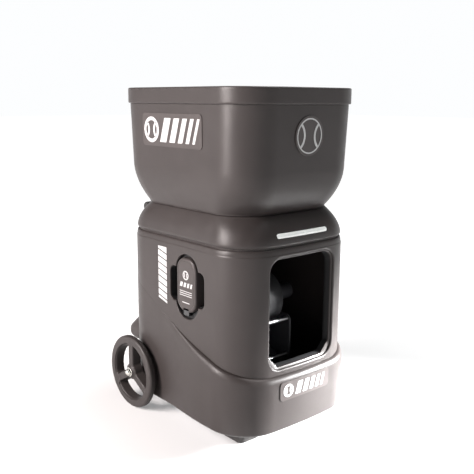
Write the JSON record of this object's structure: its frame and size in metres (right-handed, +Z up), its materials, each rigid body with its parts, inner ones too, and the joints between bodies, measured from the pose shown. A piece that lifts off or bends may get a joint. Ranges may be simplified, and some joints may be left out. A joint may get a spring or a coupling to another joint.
{
  "type": "tennis ball machine",
  "caption": "Wheeled ball thrower: tall moulded body with a front window, panning and tilting two-wheel launch head, ball feeder, side battery pack and a lift-off hopper.",
  "frame": {"origin": "centre of the bounding box's floor face, on the floor plane under the machine", "axes": "+Z up, -Y out of the window where balls leave, +X to the machine's left hand side as it faces its player"},
  "size_m": [0.4556, 0.5326, 0.82],
  "materials": {
    "shell_plastic": "fine grained, satin",
    "black_plastic": "matt",
    "label_plastic": "satin",
    "white_print": "printed film",
    "zinc_steel": "zinc plated",
    "rubber_black": "moulded",
    "bright_steel": "bright turned",
    "chrome": "polished",
    "lamp_lens": "diffusing",
    "grey_plastic": "moulded",
    "motor_steel": "satin",
    "gear_plastic": "natural acetal",
    "brass_gear": "cut",
    "black_metal": "powder coated",
    "wheel_hub_alloy": "turned",
    "throw_rubber": "grippy",
    "pack_plastic": "satin",
    "gloss_black": "polished",
    "wheel_plastic": "fine grained",
    "panel_plastic": "satin",
    "display_glass": "clear over dark",
    "button_rubber": "soft",
    "board_green": "coated board",
    "anodised": "anodised",
    "grip_rubber": "soft grip"
  },
  "bodies": {
    "housing": {"body_shell": "shell_plastic", "window_bezel": "black_plastic", "front_label_plate": "label_plastic", "stripe_decals": "white_print", "chassis_plate": "zinc_steel", "front_feet": "rubber_black", "foot_screws": "bright_steel", "top_cover": "shell_plastic", "light_bar_lens": "lamp_lens", "feeder_deck": "black_plastic", "feeder_well": "black_plastic", "feeder_gearmotor": "motor_steel", "drop_chute": "black_plastic", "pan_bearing": "gear_plastic", "pan_motor": "motor_steel", "battery_bay": "black_plastic", "axle": "bright_steel", "axle_brackets": "zinc_steel", "axle_cap_nuts": "chrome", "rear_bumper": "shell_plastic", "rear_panel": "panel_plastic", "panel_display": "display_glass", "power_switch_frame": "gloss_black", "charge_port": "gloss_black", "control_board": "board_green", "handle_brackets": "black_plastic", "handle_sleeves": "anodised"},
    "left_wheel": {"road_wheel_left": "wheel_plastic"},
    "right_wheel": {"road_wheel_right": "wheel_plastic"},
    "hopper_body": {"hopper": "shell_plastic", "hopper_label_plates": "label_plastic", "hopper_emblem": "label_plastic"},
    "battery": {"battery_pack": "pack_plastic"},
    "latch": {"battery_latch": "gloss_black"},
    "carousel": {"feeder_carousel": "grey_plastic"},
    "rocker": {"power_rocker": "gloss_black"},
    "minus_button": {"button_minus": "button_rubber"},
    "play_button": {"button_play": "button_rubber"},
    "plus_button": {"button_plus": "button_rubber"},
    "port_cap": {"charge_cap": "button_rubber"},
    "handle": {"handle_tubes": "anodised", "handle_grip": "grip_rubber"},
    "grip_button": {"handle_button": "gloss_black"},
    "pan_table": {"turntable": "gear_plastic", "yoke_left": "black_metal", "yoke_right": "black_metal", "tilt_motor": "motor_steel"},
    "pan_drive": {"pan_pinion": "brass_gear"},
    "tilt_drive": {"tilt_pinion": "brass_gear"},
    "head": {"head_plate_left": "black_metal", "head_plate_right": "black_metal", "head_spacers": "bright_steel", "breech_elbow": "black_plastic", "trunnions": "bright_steel", "tilt_gear": "gear_plastic", "wheel_motors": "motor_steel"},
    "upper_throw_wheel": {"upper_wheel_hub": "wheel_hub_alloy", "upper_wheel_tread": "throw_rubber"},
    "lower_throw_wheel": {"lower_wheel_hub": "wheel_hub_alloy", "lower_wheel_tread": "throw_rubber"}
  },
  "joints": [
    {"name": "left_wheel_spin", "type": "hinge", "parent": "housing", "child": "left_wheel", "pos_m": [-0.2025, 0.1569, 0.095], "axis": [1, 0, 0], "continuous": true},
    {"name": "right_wheel_spin", "type": "hinge", "parent": "housing", "child": "right_wheel", "pos_m": [0.2025, 0.1569, 0.095], "axis": [1, 0, 0], "continuous": true},
    {"name": "hopper_lift", "type": "slide", "parent": "housing", "child": "hopper_body", "axis": [0, 0, 1], "range_m": [0, 0.3]},
    {"name": "battery_slide", "type": "slide", "parent": "housing", "child": "battery", "axis": [-1, 0, 0], "range_m": [0, 0.12]},
    {"name": "latch_press", "type": "slide", "parent": "battery", "child": "latch", "axis": [0, 0, 1], "range_m": [0, 0.003], "stiffness_N_per_m": 400},
    {"name": "carousel_spin", "type": "hinge", "parent": "housing", "child": "carousel", "pos_m": [0, -0.0107, 0.505], "axis": [0, 0, 1], "continuous": true},
    {"name": "head_pan", "type": "hinge", "parent": "housing", "child": "pan_table", "pos_m": [0, -0.0987, 0.057], "axis": [0, 0, 1], "range_deg": [-12, 12]},
    {"name": "head_tilt", "type": "hinge", "parent": "pan_table", "child": "head", "pos_m": [0, -0.0987, 0.222], "axis": [-1, 0, 0], "range_deg": [0, 30]},
    {"name": "pan_pinion_spin", "type": "hinge", "parent": "housing", "child": "pan_drive", "pos_m": [-0.1075, -0.0987, 0.057], "axis": [0, 0, 1], "range_deg": [-62, 62]},
    {"name": "tilt_pinion_spin", "type": "hinge", "parent": "pan_table", "child": "tilt_drive", "pos_m": [-0.057, -0.05627, 0.17957], "axis": [-1, 0, 0], "range_deg": [-121, 1]},
    {"name": "upper_throw_spin", "type": "hinge", "parent": "head", "child": "upper_throw_wheel", "pos_m": [0, -0.0987, 0.315], "axis": [1, 0, 0], "continuous": true},
    {"name": "lower_throw_spin", "type": "hinge", "parent": "head", "child": "lower_throw_wheel", "pos_m": [0, -0.0987, 0.129], "axis": [1, 0, 0], "continuous": true},
    {"name": "rocker_tilt", "type": "hinge", "parent": "housing", "child": "rocker", "pos_m": [-0.028, 0.2185, 0.296], "axis": [1, 0, 0], "range_deg": [-12, 0]},
    {"name": "minus_press", "type": "slide", "parent": "housing", "child": "minus_button", "axis": [0, -1, 0], "range_m": [0, 0.0015], "stiffness_N_per_m": 300},
    {"name": "play_press", "type": "slide", "parent": "housing", "child": "play_button", "axis": [0, -1, 0], "range_m": [0, 0.0015], "stiffness_N_per_m": 300},
    {"name": "plus_press", "type": "slide", "parent": "housing", "child": "plus_button", "axis": [0, -1, 0], "range_m": [0, 0.0015], "stiffness_N_per_m": 300},
    {"name": "port_cap_flap", "type": "hinge", "parent": "housing", "child": "port_cap", "pos_m": [0.028, 0.2273, 0.307], "axis": [1, 0, 0], "range_deg": [0, 110]},
    {"name": "handle_slide", "type": "slide", "parent": "housing", "child": "handle", "axis": [0, 0, 1], "range_m": [0, 0.19]},
    {"name": "grip_button_press", "type": "slide", "parent": "handle", "child": "grip_button", "axis": [0, 0, -1], "range_m": [0, 0.003], "stiffness_N_per_m": 500}
  ],
  "couplings": [
    {"joint": "pan_pinion_spin", "follows": "head_pan", "ratio": -5.1429},
    {"joint": "tilt_pinion_spin", "follows": "head_tilt", "ratio": -4}
  ]
}
